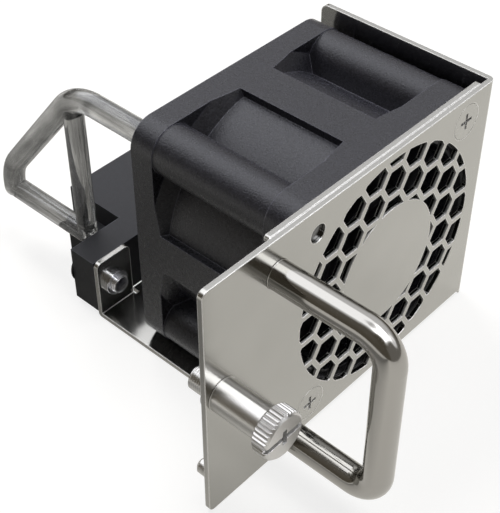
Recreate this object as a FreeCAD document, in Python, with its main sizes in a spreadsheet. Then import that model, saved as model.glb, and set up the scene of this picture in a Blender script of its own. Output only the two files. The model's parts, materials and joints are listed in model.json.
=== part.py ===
"""Hot-swap fan module for a 1U server, as a parametric FreeCAD document.

One 40 x 40 x 28 mm counter-plate fan on a folded sheet-metal tray, with a pull handle,
a captive thumbscrew, a clear light pipe and a blind-mate power connector.

Frame, in millimetres: X to the right along the front plate, Y back into the chassis,
Z up.  The origin lies on the underside of the tray, straight below the fan's centre.
"""
import FreeCAD, Part
import math
import operator
import os

import Sketcher
from FreeCAD import Vector

DRIVING_SIZES = {
    # folded sheet: front plate, top lip, right flange, floor and rear tabs
    "gauge": 0.8,
    "plate_height": 41.0,
    "plate_left": -36.7,
    "plate_right": 22.3,
    "plate_front": -15.7,
    "plate_corner": 1.0,
    "bend_radius": 1.0,
    "lip_left": -24.4,
    "lip_right": 19.9,
    "lip_reach": 0.8,
    "lip_step": 0.15,
    "flange_end": 15.3,
    "floor_side": 21.3,
    "floor_end": 23.5,
    "tab_inner": 14.5,
    "tab_height": 11.0,
    "relief_width": 0.7,
    "relief_depth": 1.4,
    # honeycomb vent
    "vent_radius": 18.9,
    "vent_hub_radius": 10.1,
    "cell_pitch": 4.96,
    "cell_across_flats": 4.1,
    # fan frame
    "fan_width": 40.0,
    "fan_depth": 28.0,
    "fan_axis": 20.8,
    "fan_hole_spacing": 32.0,
    "fan_hole_bore": 4.3,
    "fan_flange": 4.0,
    "fan_corner": 4.0,
    "fan_bore": 18.0,
    "tube_radius": 3.85,
    "barrel_radius": 19.15,
    "web_length": 2.5,
    "band_half_width": 3.4,
    "cone_rise": 2.4,
    "cone_reach": 1.5,
    "gasket_width": 38.6,
    "insert_start": -13.7,
    "insert_length": 5.0,
    # motor
    "motor_base_radius": 10.2,
    "motor_base_depth": 2.0,
    "strut_width": 1.6,
    "strut_depth": 3.4,
    "spindle_radius": 1.0,
    "bearing_radius": 2.5,
    "bearing_width": 2.3,
    "sleeve_radius": 3.1,
    "stator_radius": 6.7,
    "magnet_inner": 7.15,
    "magnet_outer": 8.2,
    "yoke_outer": 8.9,
    "hub_radius": 10.0,
    "hub_front": -12.9,
    "hub_back": 8.6,
    # impeller blades
    "blade_count": 7.0,
    "blade_tip_radius": 17.4,
    "blade_front": -12.0,
    "blade_back": 8.0,
    "blade_camber": 1.5,
    "blade_thickness": 0.9,
    # handle
    "handle_x": -23.5,
    "handle_low": 6.9,
    "handle_high": 35.1,
    "handle_grip": -33.25,
    "handle_rod": 4.2,
    "handle_bend": 4.0,
    # captive thumbscrew
    "thumb_x": -33.75,
    "thumb_z": 21.8,
    "thumb_thread": 4.0,
    "ferrule_diameter": 4.9,
    "ferrule_length": 7.8,
    "knob_diameter": 7.0,
    "knob_length": 2.6,
    "knob_flutes": 36.0,
    "thumb_tip": -11.2,
    # locating pin
    "pin_x": -34.5,
    "pin_z": 5.5,
    "pin_diameter": 2.4,
    "pin_reach": 2.8,
    # light pipe
    "pipe_diameter": 3.6,
    "pipe_post_diameter": 3.2,
    "pipe_drop": 0.3,
    "pipe_bend": 9.4,
    "pipe_corner": 29.9,
    "pipe_back": 48.75,
    "pipe_knee": 13.6,
    "pipe_low": 9.6,
    "pipe_post": 30.75,
    "window_diameter": 2.8,
    # blind-mate connector
    "connector_front": 23.6,
    "connector_top": 10.9,
    "ear_half_width": 21.3,
    "ear_depth": 5.1,
    "connector_half_width": 11.1,
    "connector_back": 40.4,
    "shelf_height": 6.9,
    "shelf_width": 3.6,
    "connector_screw_x": 18.2,
    "connector_screw_z": 6.0,
    "contact_pitch": 4.2,
}

# axial stations and details that follow from the pieces round them
SMALLEST_CELL = 0.7
THUMB_COLLAR = 4.0
COIL_STEPS = 10
HUB_WALL = 1.4
WEB_TANGENT = math.radians(158)
CLIP_Y = 12.2
BEARING_FRONT_Y = -6.2
BEARING_REAR_Y = 9.6
STATOR_Y = -2.2
STATOR_LENGTH = 6.0
STATOR_HUB = 4.2

DOC = FreeCAD.newDocument("server_fan_module")
SHEET = DOC.addObject("Spreadsheet::Sheet", "Sizes")
SHAPES = []
OPERATORS = {
    "+": operator.add,
    "-": operator.sub,
    "*": operator.mul,
    "/": operator.truediv,
}


# ---------------------------------------------------------------- lengths and the sheet

class Dim:
    """A length that carries both its number and the spreadsheet formula behind it."""

    def __init__(self, number, formula=None):
        self.number = float(number)
        self.formula = formula or f"({self.number})"

    def combined(self, sign, other, swapped=False):
        other = other if isinstance(other, Dim) else Dim(other)
        left, right = (other, self) if swapped else (self, other)
        number = OPERATORS[sign](left.number, right.number)
        return Dim(number, f"({left.formula} {sign} {right.formula})")

    def __add__(self, other):
        return self.combined("+", other)

    def __radd__(self, other):
        return self.combined("+", other, swapped=True)

    def __sub__(self, other):
        return self.combined("-", other)

    def __rsub__(self, other):
        return self.combined("-", other, swapped=True)

    def __mul__(self, other):
        return self.combined("*", other)

    def __rmul__(self, other):
        return self.combined("*", other, swapped=True)

    def __truediv__(self, other):
        return self.combined("/", other)

    def __neg__(self):
        return self.combined("*", -1)

    def __float__(self):
        return self.number


class Sizes:
    """The spreadsheet's cells as named lengths."""

    def __init__(self, driving_sizes):
        for row, (alias, number) in enumerate(driving_sizes.items(), start=1):
            SHEET.set(f"A{row}", alias)
            SHEET.set(f"B{row}", str(number))
            SHEET.setAlias(f"B{row}", alias)
        DOC.recompute()
        for alias in driving_sizes:
            setattr(self, alias, Dim(SHEET.get(alias), f"Sizes.{alias}"))


S = Sizes(DRIVING_SIZES)


def bind(item, name, length):
    """Tie a property or constraint to its spreadsheet formula."""
    item.setExpression(name, (length if isinstance(length, Dim) else Dim(length)).formula)


# ---------------------------------------------------------------- sketches and features

VIEW_PLANES = {"top": "XY_Plane", "front": "XZ_Plane", "side": "YZ_Plane"}


def body_at(label, x=0, y=0, z=0):
    """Empty body whose own origin stands at x, y, z."""
    body = DOC.addObject("PartDesign::Body", label)
    for axis, length in zip("xyz", (x, y, z)):
        bind(body, f"Placement.Base.{axis}", length)
    return body


def origin_item(body, role):
    """One of the planes or axes of a body's origin."""
    return next(item for item in body.Origin.OriginFeatures if item.Role == role)


def sketch_on(body, view, height=0):
    """Sketch seen from the top (X, Y), the front (X, Z) or the side (Y, Z), placed at
    a height along the third axis."""
    sketch = body.newObject("Sketcher::SketchObject", f"{body.Label}_{view}")
    sketch.AttachmentSupport = (origin_item(body, VIEW_PLANES[view]), "")
    sketch.MapMode = "FlatFace"
    bind(sketch, "AttachmentOffset.Base.z", -height if view == "front" else height)
    return sketch


def pin_point(sketch, geometry, end, x, y):
    """Hold one end of a sketch element at x, y."""
    for kind, length, axis in (("DistanceX", x, -2), ("DistanceY", y, -1)):
        if abs(float(length)) < 1e-9:
            sketch.addConstraint(Sketcher.Constraint("PointOnObject", geometry, end, axis))
        else:
            held = Sketcher.Constraint(kind, -1, 1, geometry, end, float(length))
            bind(sketch, f"Constraints[{sketch.addConstraint(held)}]", length)


def add_line(sketch, start, end):
    """Line with both ends held."""
    points = [Vector(float(x), float(y), 0) for x, y in (start, end)]
    line = sketch.addGeometry(Part.LineSegment(*points), False)
    pin_point(sketch, line, 1, *start)
    pin_point(sketch, line, 2, *end)
    return line


def add_circle(sketch, radius, x=0, y=0):
    """Circle of a held radius round a held centre."""
    centre = Vector(float(x), float(y), 0)
    circle = sketch.addGeometry(Part.Circle(centre, Vector(0, 0, 1), float(radius)), False)
    pin_point(sketch, circle, 3, x, y)
    held = sketch.addConstraint(Sketcher.Constraint("Radius", circle, float(radius)))
    bind(sketch, f"Constraints[{held}]", radius)


def add_arc(sketch, line_before, line_after, radius):
    """Quarter round between the end of one line and the start of the next."""
    start = sketch.getPoint(line_before, 2)
    end = sketch.getPoint(line_after, 1)
    along = start - sketch.getPoint(line_before, 1)
    along.normalize()
    centre = end - along * float(radius)
    middle = centre + (start + end - centre * 2).normalize() * float(radius)
    arc = sketch.addGeometry(Part.Arc(start, middle, end), False)
    ends = (1, 2) if sketch.getPoint(arc, 1).distanceToPoint(start) < 1e-6 else (2, 1)
    sketch.addConstraint(Sketcher.Constraint("Coincident", arc, ends[0], line_before, 2))
    sketch.addConstraint(Sketcher.Constraint("Coincident", arc, ends[1], line_after, 1))
    held = sketch.addConstraint(Sketcher.Constraint("Radius", arc, float(radius)))
    bind(sketch, f"Constraints[{held}]", radius)


def outline(sketch, corners):
    """Closed outline through the corners.  A third number rounds a square corner."""
    count = len(corners)
    entries, exits = [], []
    for index, (x, y, *rounding) in enumerate(corners):
        radius = rounding[0] if rounding else 0
        before, after = corners[index - 1], corners[(index + 1) % count]
        arriving = direction(before, (x, y))
        leaving = direction((x, y), after)
        entries.append(shifted((x, y), arriving, -radius) if rounding else (x, y))
        exits.append(shifted((x, y), leaving, radius) if rounding else (x, y))
    lines = [
        add_line(sketch, exits[index], entries[(index + 1) % count]) for index in range(count)
    ]
    for index, (x, y, *rounding) in enumerate(corners):
        if rounding:
            add_arc(sketch, lines[index - 1], lines[index], rounding[0])


def slanted(sketch, corners):
    """Closed outline of straight lines in any direction."""
    for start, end in zip(corners, corners[1:] + corners[:1]):
        add_line(sketch, start, end)


def direction(start, end):
    """Unit steps along X and Y from one square corner to the next."""
    steps = [float(b) - float(a) for a, b in zip(start[:2], end[:2])]
    return [0 if abs(step) < 1e-9 else math.copysign(1, step) for step in steps]


def shifted(point, steps, distance):
    """The point moved a distance along one axis."""
    return tuple(
        length + distance * step if step else length for length, step in zip(point, steps)
    )


def box_corners(x_low, y_low, x_high, y_high, *rounding):
    """Corners of a rectangle, all with the same rounding or none."""
    corners = ((x_low, y_low), (x_high, y_low), (x_high, y_high), (x_low, y_high))
    return [corner + rounding for corner in corners]


def cross_corners(reach, half_width):
    """Corners of an upright cross."""
    quarter = [(reach, -half_width), (reach, half_width), (half_width, half_width)]
    corners = []
    for _ in range(4):
        corners += quarter
        quarter = [(-y, x) for x, y in quarter]
    return corners


def extrude(kind, sketch, length):
    """Pad or pocket a sketch towards the positive side of its plane."""
    body = sketch.getParentGeoFeatureGroup()
    feature = body.newObject(f"PartDesign::{kind}", f"{sketch.Label}_{kind.lower()}")
    feature.Profile = sketch
    bind(feature, "Length", length)
    from_front = sketch.AttachmentSupport[0][0].Role == "XZ_Plane"
    feature.Reversed = from_front if kind == "Pad" else not from_front
    return feature


def turned(body, profile, kind="Revolution", x=0, axis_z=0):
    """Profile of (y, radius) corners turned about the line along Y at x, axis_z."""
    sketch = sketch_on(body, "side", x)
    outline(sketch, [(y, radius + axis_z) for y, radius in profile])
    return turn_sketch(sketch, kind, axis_z)


def turn_sketch(sketch, kind="Revolution", axis_z=0):
    """Turn a side sketch about the line along Y at height axis_z."""
    body = sketch.getParentGeoFeatureGroup()
    ends = [Vector(0, float(axis_z), 0), Vector(1, float(axis_z), 0)]
    axis = sketch.addGeometry(Part.LineSegment(*ends), True)
    pin_point(sketch, axis, 1, 0, axis_z)
    pin_point(sketch, axis, 2, 1, axis_z)
    feature = body.newObject(f"PartDesign::{kind}", f"{sketch.Label}_{kind.lower()}")
    feature.Profile = sketch
    feature.ReferenceAxis = (sketch, ["Axis0"])
    feature.Angle = 360
    return feature


def repeat_round_y(feature, count, *others):
    """Repeat one or more features evenly about the body's Y axis."""
    body = feature.getParentGeoFeatureGroup()
    pattern = body.newObject("PartDesign::PolarPattern", f"{feature.Label}_ring")
    pattern.Originals = [feature, *others]
    pattern.Axis = (origin_item(body, "Y_Axis"), [""])
    pattern.Angle = 360
    bind(pattern, "Occurrences", count)
    body.Tip = pattern
    return pattern


def repeat_along_x(feature, count, pitch):
    """Repeat a feature count times along X."""
    body = feature.getParentGeoFeatureGroup()
    pattern = body.newObject("PartDesign::LinearPattern", f"{feature.Label}_row")
    pattern.Originals = [feature]
    pattern.Direction = (origin_item(body, "X_Axis"), [""])
    bind(pattern, "Length", pitch * (count - 1))
    pattern.Occurrences = count
    body.Tip = pattern
    return pattern


def mirrored(features, plane="YZ_Plane"):
    """Mirror features in one of the body's origin planes."""
    body = features[-1].getParentGeoFeatureGroup()
    pattern = body.newObject("PartDesign::Mirrored", f"{features[-1].Label}_mirrored")
    pattern.Originals = features
    pattern.MirrorPlane = (origin_item(body, plane), [""])
    body.Tip = pattern
    return pattern


def soften(kind, feature, size, chosen):
    """Fillet or chamfer the edges of a feature that the test picks."""
    DOC.recompute()
    body = feature.getParentGeoFeatureGroup()
    names = [
        f"Edge{number}" for number, edge in enumerate(feature.Shape.Edges, 1) if chosen(edge)
    ]
    edge_break = body.newObject(f"PartDesign::{kind}", f"{feature.Label}_{kind.lower()}")
    edge_break.Base = (feature, names)
    bind(edge_break, "Radius" if kind == "Fillet" else "Size", size)
    return edge_break


def edge_near(*points):
    """Test for edges whose middle lies at one of the points, where None is any value."""
    def chosen(edge):
        middle = edge.BoundBox.Center
        return any(
            all(want is None or abs(float(want) - got) < 0.02 for want, got in zip(point, middle))
            for point in points
        )
    return chosen


def finish(item, label=None):
    """Keep an item as one of the module's pieces."""
    if label:
        item.Label = label
    SHAPES.append(item)
    return item


# ---------------------------------------------------------------- folded sheet tray

def tray():
    """Front plate, top lip, right flange, floor and rear tabs folded from one sheet."""
    body = body_at("tray_sheet")
    rear_face = S.plate_front + S.gauge
    top = S.plate_height - S.lip_step

    side = S.floor_side
    plate = sketch_on(body, "front", S.plate_front)
    outline(plate, [
        (S.plate_left, 0, S.plate_corner),
        (-side, 0),
        (-side, S.bend_radius),
        (side, S.bend_radius),
        (side, 0),
        (S.plate_right, 0),
        (S.plate_right, top),
        (S.plate_left, top, S.plate_corner),
    ])
    extrude("Pad", plate, S.gauge)

    fold = sketch_on(body, "side", -side)
    outline(fold, [
        (S.plate_front, S.bend_radius * 2),
        (S.plate_front, 0, S.bend_radius),
        (S.floor_end, 0),
        (S.floor_end, S.gauge),
        (rear_face, S.gauge, 0.25),
        (rear_face, S.bend_radius * 2),
    ])
    extrude("Pad", fold, side * 2)

    lip = sketch_on(body, "front", rear_face)
    outline(lip, [
        (S.lip_left, S.plate_height - S.gauge),
        (S.lip_right, S.plate_height - S.gauge),
        (S.lip_right, S.plate_height, 0.4),
        (S.lip_left, S.plate_height, 0.4),
    ])
    extrude("Pad", lip, S.lip_reach)

    tabs = sketch_on(body, "front", S.floor_end - S.gauge)
    outline(tabs, [
        (-side, 0),
        (-S.tab_inner, 0),
        (-S.tab_inner, S.tab_height, 1),
        (-side, S.tab_height, 1),
    ])
    mirrored([extrude("Pad", tabs, S.gauge)])

    flange = sketch_on(body, "side", S.plate_right - S.gauge)
    outline(flange, [
        (S.plate_front, 0),
        (S.flange_end, 0),
        (S.flange_end, top, 1.2),
        (S.plate_front, top),
    ])
    extrude("Pad", flange, S.gauge)

    sheet = cut_tab_reliefs(body)
    sheet = soften("Fillet", sheet, S.bend_radius, edge_near(
        (S.plate_right, S.plate_front, None)))
    soften("Fillet", sheet, S.gauge * 0.75, edge_near(
        ((side + S.tab_inner) / 2, S.floor_end, 0),
        (-(side + S.tab_inner) / 2, S.floor_end, 0)))
    cut_plate_holes(body, rear_face)

    vent = DOC.addObject("Part::Cut", "tray")
    vent.Base = body
    vent.Tool = vent_cells()
    return finish(vent)


def cut_tab_reliefs(body):
    """Slots in the floor beside the two rear tabs."""
    slots = sketch_on(body, "top", -1)
    for start in (-S.tab_inner, S.tab_inner - S.relief_width):
        outline(slots, box_corners(
            start, S.floor_end - S.relief_depth, start + S.relief_width, S.floor_end + 1))
    return extrude("Pocket", slots, S.gauge + 2)


def cut_plate_holes(body, rear_face):
    """Holes for the screws, the light pipe's window, the handle, thumbscrew and pin."""
    half = S.fan_hole_spacing / 2
    low, high = S.fan_axis - half, S.fan_axis + half

    through = sketch_on(body, "front", S.plate_front - 1)
    add_circle(through, S.window_diameter / 2, -half, high)
    add_circle(through, S.ferrule_diameter / 2 - 0.25, S.thumb_x, S.thumb_z)
    for height in (S.handle_low, S.handle_high):
        add_circle(through, 1.3, S.handle_x, height)
    extrude("Pocket", through, S.gauge + 2)

    blind = sketch_on(body, "front", rear_face - 0.6)
    add_circle(blind, 0.9, S.pin_x, S.pin_z)
    extrude("Pocket", blind, 1)

    for x, height in ((half, high), (-half, low)):
        turned(body, [
            (S.plate_front - 0.1, 0),
            (S.plate_front - 0.1, 2.92),
            (rear_face + 0.1, 1.91),
            (rear_face + 0.1, 0),
        ], "Groove", x, height)

    shanks = sketch_on(body, "front", S.floor_end - S.gauge - 1)
    for side in (-1, 1):
        add_circle(shanks, 1.9, S.connector_screw_x * side, S.connector_screw_z)
    extrude("Pocket", shanks, S.gauge + 2)


def vent_cells():
    """The honeycomb's openings: hexagons on a staggered grid, clipped to the ring."""
    pitch = S.cell_pitch.number
    column = pitch * math.sqrt(3) / 2
    corner = S.cell_across_flats.number / math.sqrt(3)
    outer, inner = S.vent_radius.number, S.vent_hub_radius.number
    depth = S.gauge.number + 2
    along = Vector(0, 1, 0)
    centre = Vector(0, S.plate_front.number - 1, S.fan_axis.number)
    ring = Part.makeCylinder(outer, depth, centre, along).cut(
        Part.makeCylinder(inner, depth, centre, along))
    cells = []
    columns = math.ceil(outer / column)
    rows = math.ceil(outer / pitch)
    for across in range(-columns, columns + 1):
        for up in range(-rows, rows + 1):
            middle = centre + Vector(across * column, 0, (up + across % 2 / 2) * pitch)
            if (middle - centre).Length > outer + corner:
                continue
            turns = [math.radians(60 * step) for step in range(7)]
            points = [middle + Vector(math.cos(a), 0, math.sin(a)) * corner for a in turns]
            prism = Part.Face(Part.makePolygon(points)).extrude(along * depth)
            opening = prism.common(ring)
            cells += [cell for cell in opening.Solids if cell.Volume > SMALLEST_CELL * depth]
    tool = DOC.addObject("Part::Feature", "vent_cells")
    tool.Shape = Part.makeCompound(cells)
    return tool


# ---------------------------------------------------------------- handle

def bent_rod(label, x, points, bend, diameter):
    """Round rod along a path of straight runs and arcs in the plane at x."""
    route = [Vector(float(x), float(y), float(z)) for y, z in points]
    start = (route[1] - route[0]).normalize()
    end_face = Part.Face(Part.Wire(
        Part.Circle(route[0], start, float(diameter) / 2).toShape()))
    spine = Part.Wire([run.toShape() for run in rounded_path(route, float(bend))])
    rod = DOC.addObject("Part::Feature", label)
    rod.Shape = spine.makePipe(end_face)
    return rod


def cylinder(label, radius, length, place, along="z"):
    """Round bar from a point along +Y or +Z."""
    bar = DOC.addObject("Part::Cylinder", label)
    bind(bar, "Radius", radius)
    bind(bar, "Height", length)
    if along == "y":
        bar.Placement.Rotation = FreeCAD.Rotation(Vector(1, 0, 0), -90)
    for axis, position in zip("xyz", place):
        bind(bar, f"Placement.Base.{axis}", position)
    return bar


def fused(label, pieces):
    """Join the solids of one piece, one after the other."""
    union = pieces[0]
    for number, piece in enumerate(pieces[1:], start=1):
        pair = DOC.addObject("Part::Fuse", f"{label}_join_{number}")
        pair.Base = union
        pair.Tool = piece
        union = pair
    union.Label = label
    return union


def rounded_path(points, bend):
    """Lines and tangent arcs of one bend radius through the points."""
    runs = []
    start = points[0]
    for before, corner, after in zip(points, points[1:], points[2:]):
        arriving = (corner - before).normalize()
        leaving = (after - corner).normalize()
        turn = arriving.getAngle(leaving)
        setback = bend * math.tan(turn / 2)
        entry = corner - arriving * setback
        leave = corner + leaving * setback
        inward = (leaving - arriving).normalize()
        centre = corner + inward * (bend / math.cos(turn / 2))
        runs.append(Part.LineSegment(start, entry))
        runs.append(Part.Arc(entry, centre - inward * bend, leave))
        start = leave
    runs.append(Part.LineSegment(start, points[-1]))
    return runs


def handle():
    """Polished round bar bent into a U, tapped at both feet."""
    bar = bent_rod("handle_bar", S.handle_x, [
        (S.plate_front, S.handle_high),
        (S.handle_grip, S.handle_high),
        (S.handle_grip, S.handle_low),
        (S.plate_front, S.handle_low),
    ], S.handle_bend, S.handle_rod)
    taps = fused("handle_taps", [
        cylinder(f"handle_tap_{name}", 1.05, 6, (S.handle_x, S.plate_front - 5, height), "y")
        for name, height in (("low", S.handle_low), ("high", S.handle_high))
    ])
    tapped = DOC.addObject("Part::Cut", "handle")
    tapped.Base = bar
    tapped.Tool = taps
    return finish(tapped)


def handle_screws():
    """Two pan-head screws through the plate into the handle's feet."""
    half = (S.handle_high - S.handle_low) / 2
    body = body_at("handle_screws", S.handle_x, S.plate_front + S.gauge, S.handle_low + half)
    screw = turned(body, [
        (-4.5, 0), (-4.5, 1), (0, 1), (0, 2.2), (0.9, 2.2), (1.5, 1.5), (1.5, 0),
    ], axis_z=half)
    recess = cross_recess(body, 0.9, half, 1.3, 0.35, 1)
    mirrored([screw, recess], "XY_Plane")
    return finish(body)


def cross_recess(body, y, z, reach, half_width, depth, x=0):
    """Cross-shaped drive pocket that starts at y and runs towards +Y."""
    drive = sketch_on(body, "front", y)
    outline(drive, [(a + x, b + z) for a, b in cross_corners(Dim(reach), Dim(half_width))])
    return extrude("Pocket", drive, depth)


# ---------------------------------------------------------------- captive thumbscrew

def thumbscrew_body(label):
    """Body whose origin lies on the thumbscrew's axis at the front of the plate."""
    return body_at(label, S.thumb_x, S.plate_front, S.thumb_z)


def thumbscrew_ferrule():
    """Smooth sleeve swaged into the plate, with an inner collar that keeps the screw."""
    body = thumbscrew_body("thumbscrew_ferrule")
    outer = S.ferrule_diameter / 2
    spigot = outer - 0.27
    bore = S.thumb_thread / 2 + 0.08
    turned(body, [
        (-S.ferrule_length, bore),
        (-S.ferrule_length, outer),
        (0, outer),
        (0, spigot),
        (S.gauge, spigot),
        (S.gauge, outer + 0.25),
        (S.gauge + 0.4, outer + 0.25),
        (S.gauge + 0.4, bore),
        (-THUMB_COLLAR, bore),
        (-THUMB_COLLAR, 1.45),
        (-THUMB_COLLAR - 0.6, 1.45),
        (-THUMB_COLLAR - 0.6, bore),
    ])
    return finish(body)


def thumbscrew_shaft():
    """Threaded tail, undercut, guide in the ferrule's bore, thin neck and knob spigot."""
    body = thumbscrew_body("thumbscrew_shaft")
    thread = S.thumb_thread / 2
    tip = S.thumb_tip - S.plate_front
    turned(body, [
        (-S.ferrule_length - 1.6, 0),
        (-S.ferrule_length - 1.6, 1.4),
        (-0.5, 1.4),
        (-0.5, thread + 0.04),
        (S.gauge + 0.1, thread + 0.04),
        (S.gauge + 0.1, thread - 0.4),
        (S.gauge + 0.7, thread - 0.4),
        (S.gauge + 0.7, thread),
        (tip - 0.9, thread),
        (tip - 0.2, thread - 0.6),
        (tip, thread - 0.9),
        (tip, 0),
    ])
    return finish(body)


def thumbscrew_knob():
    """Fluted round knob with a slot and a cross in its face."""
    body = thumbscrew_body("thumbscrew_knob")
    radius = S.knob_diameter / 2
    rear = -S.ferrule_length
    front = rear - S.knob_length
    turned(body, [
        (front, 0), (front, radius - 0.4), (front + 0.4, radius),
        (rear - 0.3, radius), (rear, radius - 0.3), (rear, 0),
    ])
    bore = sketch_on(body, "front", rear - 1.65)
    add_circle(bore, 1.4)
    extrude("Pocket", bore, 2)

    flute = sketch_on(body, "front", front - 1)
    slanted(flute, [(-0.24, radius + 0.02), (0.24, radius + 0.02), (0, radius - 0.22)])
    knurl = extrude("Pocket", flute, S.knob_length + 2)
    repeat_round_y(knurl, S.knob_flutes)

    slot = sketch_on(body, "front", front - 1)
    outline(slot, box_corners(-radius - 1, -0.4, radius + 1, 0.4))
    extrude("Pocket", slot, 1.55)
    cross_recess(body, front - 1, 0, 1.25, 0.4, 1.8)
    return finish(body)


def thumbscrew_washer():
    """Thrust washer that travels with the knob inside the ferrule's mouth."""
    body = thumbscrew_body("thumbscrew_washer")
    start = -S.ferrule_length
    turned(body, [(start, 1.45), (start, 2), (start + 0.3, 2), (start + 0.3, 1.45)])
    return finish(body)


def coil_spring(label, start, length, turns, mean_radius, wire):
    """Open coil round an axis along Y, bent in short straight steps, from start on."""
    steps = turns * COIL_STEPS
    rise = (length - wire) / steps
    points = []
    for step in range(steps + 1):
        angle = 2 * math.pi * step / COIL_STEPS
        round_axis = Vector(math.cos(angle), 0, math.sin(angle)) * mean_radius
        points.append(start + round_axis + Vector(0, wire / 2 + rise * step, 0))
    section = Part.makePolygon(wire_section(points[0], points[1] - points[0], wire / 2))
    spring = DOC.addObject("Part::Feature", label)
    right_corners = 1
    spring.Shape = Part.makePolygon(points).makePipeShell(
        [section], True, True, right_corners)
    return finish(spring)


def wire_section(centre, along, radius):
    """Six-sided section of a spring's wire, square to its first step."""
    sideways = along.cross(Vector(0, 1, 0)).normalize()
    upwards = along.cross(sideways).normalize()
    turns = [math.radians(60 * step) for step in range(7)]
    return [centre + (sideways * math.cos(a) + upwards * math.sin(a)) * radius for a in turns]


def thumbscrew_spring():
    """Spring between the ferrule's collar and the thrust washer."""
    front = S.plate_front.number - S.ferrule_length.number + 0.32
    back = S.plate_front.number - THUMB_COLLAR - 0.62
    start = Vector(S.thumb_x.number, front, S.thumb_z.number)
    return coil_spring("thumbscrew_spring", start, back - front, 4, 1.72, 0.36)


def locating_pin():
    """Headless pin pressed into the plate's rear face."""
    body = body_at("locating_pin", S.pin_x, S.plate_front + S.gauge, S.pin_z)
    radius = S.pin_diameter / 2
    turned(body, [
        (-0.6, 0), (-0.6, 0.88), (0, 0.88), (0, radius),
        (S.pin_reach - 0.4, radius), (S.pin_reach, radius - 0.4), (S.pin_reach, 0),
    ])
    return finish(body)


# ---------------------------------------------------------------- fan frame

def fan_body(label):
    """Body whose Y axis is the rotor's axis."""
    return body_at(label, z=S.fan_axis)


def fan_gasket():
    """Foam gasket between the plate and the fan, open for the air and the screws."""
    body = fan_body("fan_gasket")
    half = S.gasket_width / 2
    pad = sketch_on(body, "front", S.plate_front + S.gauge)
    outline(pad, box_corners(-half, -half, half, half, S.fan_corner))
    add_circle(pad, S.fan_bore + 0.6)
    for x, z in corner_points():
        add_circle(pad, S.fan_hole_bore / 2, x, z)
    extrude("Pad", pad, -S.fan_depth / 2 - S.plate_front - S.gauge)
    return finish(body)


def corner_points():
    """The four mounting holes round the rotor's axis."""
    half = S.fan_hole_spacing / 2
    return [(x * half, z * half) for x in (-1, 1) for z in (-1, 1)]


def fan_housing():
    """Moulded frame: two square flanges, a round barrel, corner tubes and motor mount."""
    body = fan_body("fan_housing")
    half = S.fan_width / 2
    front = -S.fan_depth / 2
    inside = front + S.fan_flange
    span = S.fan_depth - S.fan_flange * 2

    barrel = sketch_on(body, "front", front)
    add_circle(barrel, S.barrel_radius)
    extrude("Pad", barrel, S.fan_depth)

    bands = sketch_on(body, "front", inside)
    outline(bands, cross_corners(half, S.band_half_width))
    extrude("Pad", bands, span)

    flare_barrel(body, inside, span)

    for start in (front, inside + span):
        square = sketch_on(body, "front", start)
        outline(square, box_corners(-half, -half, half, half, S.fan_corner))
        extrude("Pad", square, S.fan_flange)

    tube = sketch_on(body, "front", inside)
    half_spacing = S.fan_hole_spacing / 2
    add_circle(tube, S.tube_radius, half_spacing, half_spacing)
    repeat_round_y(extrude("Pad", tube, span), 4)

    web = sketch_on(body, "front", inside)
    slanted(web, tube_web(half_spacing))
    repeat_round_y(extrude("Pad", web, span), 4)

    air = sketch_on(body, "front", front - 1)
    add_circle(air, S.fan_bore)
    extrude("Pocket", air, S.fan_depth + 2)

    add_motor_mount(body)

    holes = sketch_on(body, "front", front - 1)
    for x, z in corner_points():
        add_circle(holes, S.fan_hole_bore / 2, x, z)
    extrude("Pocket", holes, S.fan_depth + 2)
    return finish(body)


def tube_web(centre):
    """Corners of the web that leaves a corner tube on tangents and ends in the barrel."""
    across, up = math.cos(WEB_TANGENT), math.sin(WEB_TANGENT)
    touch = (centre + S.tube_radius * across, centre + S.tube_radius * up)
    root = (touch[0] - S.web_length * up, touch[1] + S.web_length * across)
    return [touch, root, root[::-1], touch[::-1]]


def flare_barrel(body, inside, span):
    """Cones that widen the barrel towards both flanges, trimmed to the fan's square."""
    half = S.fan_width / 2
    ring = sketch_on(body, "side")
    low = S.barrel_radius - 0.4
    high = S.barrel_radius + S.cone_rise
    for face, reach in ((inside, S.cone_reach), (inside + span, -S.cone_reach)):
        ridge = face + reach
        slanted(ring, [(face, low), (face, high), (ridge, S.barrel_radius), (ridge, low)])
    turn_sketch(ring)
    trim = sketch_on(body, "front", inside - 1)
    outline(trim, box_corners(-half * 2, -half * 2, half * 2, half * 2))
    outline(trim, box_corners(-half, -half, half, half))
    extrude("Pocket", trim, span + 2)


def add_motor_mount(body):
    """Four struts and the round base with its bearing boss, at the fan's rear."""
    rear = S.fan_depth / 2
    strut = sketch_on(body, "front", rear - S.strut_depth)
    outline(strut, box_corners(
        S.motor_base_radius - 2, -S.strut_width / 2, S.fan_bore + 0.4, S.strut_width / 2))
    repeat_round_y(extrude("Pad", strut, S.strut_depth - 0.6), 4)

    base = sketch_on(body, "front", rear - S.motor_base_depth)
    add_circle(base, S.motor_base_radius)
    extrude("Pad", base, S.motor_base_depth)

    boss = sketch_on(body, "front", rear - S.motor_base_depth - 2.2)
    add_circle(boss, S.sleeve_radius + 1)
    extrude("Pad", boss, 2.5)

    seat = sketch_on(body, "front", rear - S.motor_base_depth - 3)
    add_circle(seat, S.sleeve_radius)
    extrude("Pocket", seat, 6)


# ---------------------------------------------------------------- rotor

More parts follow.
